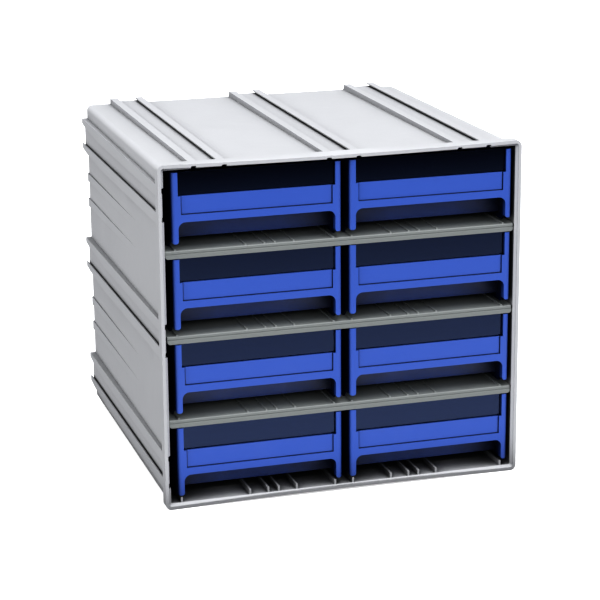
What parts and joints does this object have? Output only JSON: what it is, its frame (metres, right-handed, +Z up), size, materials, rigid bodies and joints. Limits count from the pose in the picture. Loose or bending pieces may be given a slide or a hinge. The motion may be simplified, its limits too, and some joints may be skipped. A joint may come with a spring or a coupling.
{
  "type": "parts bin cabinet",
  "caption": "Moulded plastic cabinet with shelves and pull-out drawers that have clear windows and finger bars, and rails for joining it to its neighbours.",
  "frame": {"origin": "middle of the cabinet's footprint, on the plane that it stands on", "axes": "+X to the right seen from the front, +Y from the front to the back, +Z up"},
  "size_m": [0.298, 0.289, 0.279],
  "materials": {
    "shell": "fine satin, light grey",
    "shelf": "fine satin, mid grey",
    "drawer": "satin, blue",
    "window": "clear, smoke tinted"
  },
  "bodies": {
    "cabinet": {"cabinet_shell": "shell", "shelf_1": "shelf", "shelf_2": "shelf", "shelf_3": "shelf"},
    "drawer_r1c1": {"tray_r1c1": "drawer", "window_r1c1": "window"},
    "drawer_r1c2": {"tray_r1c2": "drawer", "window_r1c2": "window"},
    "drawer_r2c1": {"tray_r2c1": "drawer", "window_r2c1": "window"},
    "drawer_r2c2": {"tray_r2c2": "drawer", "window_r2c2": "window"},
    "drawer_r3c1": {"tray_r3c1": "drawer", "window_r3c1": "window"},
    "drawer_r3c2": {"tray_r3c2": "drawer", "window_r3c2": "window"},
    "drawer_r4c1": {"tray_r4c1": "drawer", "window_r4c1": "window"},
    "drawer_r4c2": {"tray_r4c2": "drawer", "window_r4c2": "window"}
  },
  "joints": [
    {"name": "drawer_r1c1_slide", "type": "slide", "parent": "cabinet", "child": "drawer_r1c1", "axis": [0, -1, 0], "range_m": [0, 0.2]},
    {"name": "drawer_r1c2_slide", "type": "slide", "parent": "cabinet", "child": "drawer_r1c2", "axis": [0, -1, 0], "range_m": [0, 0.2]},
    {"name": "drawer_r2c1_slide", "type": "slide", "parent": "cabinet", "child": "drawer_r2c1", "axis": [0, -1, 0], "range_m": [0, 0.2]},
    {"name": "drawer_r2c2_slide", "type": "slide", "parent": "cabinet", "child": "drawer_r2c2", "axis": [0, -1, 0], "range_m": [0, 0.2]},
    {"name": "drawer_r3c1_slide", "type": "slide", "parent": "cabinet", "child": "drawer_r3c1", "axis": [0, -1, 0], "range_m": [0, 0.2]},
    {"name": "drawer_r3c2_slide", "type": "slide", "parent": "cabinet", "child": "drawer_r3c2", "axis": [0, -1, 0], "range_m": [0, 0.2]},
    {"name": "drawer_r4c1_slide", "type": "slide", "parent": "cabinet", "child": "drawer_r4c1", "axis": [0, -1, 0], "range_m": [0, 0.2]},
    {"name": "drawer_r4c2_slide", "type": "slide", "parent": "cabinet", "child": "drawer_r4c2", "axis": [0, -1, 0], "range_m": [0, 0.2]}
  ]
}
